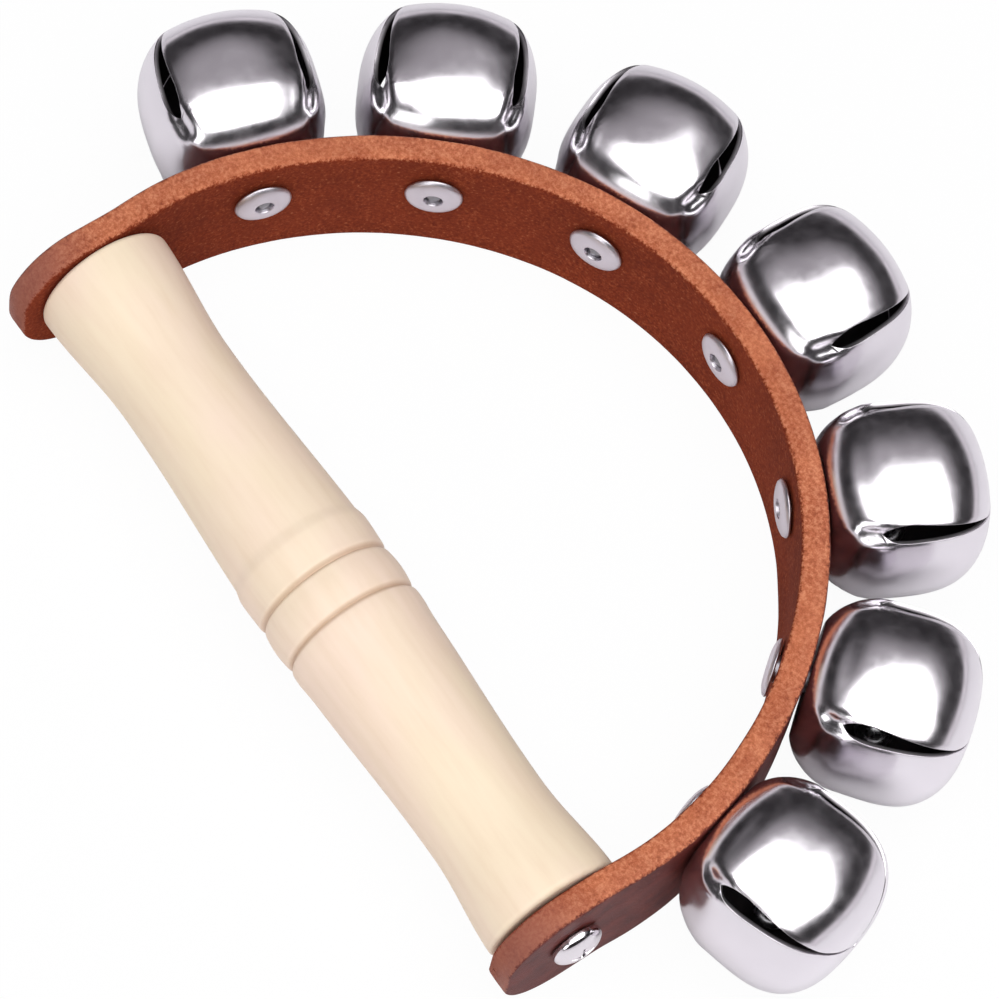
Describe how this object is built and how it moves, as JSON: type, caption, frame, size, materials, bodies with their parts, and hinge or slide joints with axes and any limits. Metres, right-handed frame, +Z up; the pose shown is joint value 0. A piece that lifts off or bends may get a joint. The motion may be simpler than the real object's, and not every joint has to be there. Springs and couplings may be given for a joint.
{
  "type": "half-moon bell shaker",
  "caption": "Half-moon hand shaker: pressed jingle bells with loose pellets riveted round a bent leather strap, its ends screwed to a turned wooden handle.",
  "frame": {"origin": "middle of the footprint, on the surface that the strap's lower edge rests on", "axes": "+X along the handle, +Y from the handle towards the bells at the crown, +Z up across the strap's width"},
  "size_m": [0.1762, 0.1148, 0.0287],
  "materials": {
    "wood": "smooth turned, pale, unvarnished",
    "leather": "red-brown, smooth outside, raw orange-brown cut edges",
    "bell": "bright nickel plate",
    "pellet": "bright",
    "rivet": "satin",
    "pin": "dull",
    "screw": "bright nickel plate"
  },
  "bodies": {
    "shaker": {"handle": "wood", "strap": "leather", "screw_left": "screw", "screw_right": "screw", "bell_1": "bell", "bell_2": "bell", "bell_3": "bell", "bell_4": "bell", "bell_5": "bell", "bell_6": "bell", "bell_7": "bell", "rivet_1": "rivet", "rivet_2": "rivet", "rivet_3": "rivet", "rivet_4": "rivet", "rivet_5": "rivet", "rivet_6": "rivet", "rivet_7": "rivet", "rivet_pin_1": "pin", "rivet_pin_2": "pin", "rivet_pin_3": "pin", "rivet_pin_4": "pin", "rivet_pin_5": "pin", "rivet_pin_6": "pin", "rivet_pin_7": "pin"},
    "pellet_1": {"pellet_1": "pellet"},
    "pellet_2": {"pellet_2": "pellet"},
    "pellet_3": {"pellet_3": "pellet"},
    "pellet_4": {"pellet_4": "pellet"},
    "pellet_5": {"pellet_5": "pellet"},
    "pellet_6": {"pellet_6": "pellet"},
    "pellet_7": {"pellet_7": "pellet"}
  },
  "joints": [
    {"name": "pellet_1_roll", "type": "hinge", "parent": "shaker", "child": "pellet_1", "pos_m": [-0.07422, -0.01095, 0.015], "axis": [-0.9512, 0.3086, 0], "continuous": true},
    {"name": "pellet_2_roll", "type": "hinge", "parent": "shaker", "child": "pellet_2", "pos_m": [-0.05783, 0.01779, 0.015], "axis": [-0.75, 0.6615, 0], "continuous": true},
    {"name": "pellet_3_roll", "type": "hinge", "parent": "shaker", "child": "pellet_3", "pos_m": [-0.03106, 0.03766, 0.015], "axis": [-0.4076, 0.9132, 0], "continuous": true},
    {"name": "pellet_4_roll", "type": "hinge", "parent": "shaker", "child": "pellet_4", "pos_m": [0.002, 0.0441, 0.015], "axis": [0.0348, 0.9994, 0], "continuous": true},
    {"name": "pellet_5_roll", "type": "hinge", "parent": "shaker", "child": "pellet_5", "pos_m": [0.03453, 0.03538, 0.015], "axis": [0.4701, 0.8826, 0], "continuous": true},
    {"name": "pellet_6_roll", "type": "hinge", "parent": "shaker", "child": "pellet_6", "pos_m": [0.05989, 0.01386, 0.015], "axis": [0.7899, 0.6132, 0], "continuous": true},
    {"name": "pellet_7_roll", "type": "hinge", "parent": "shaker", "child": "pellet_7", "pos_m": [0.07445, -0.01585, 0.015], "axis": [0.9686, 0.2484, 0], "continuous": true}
  ]
}
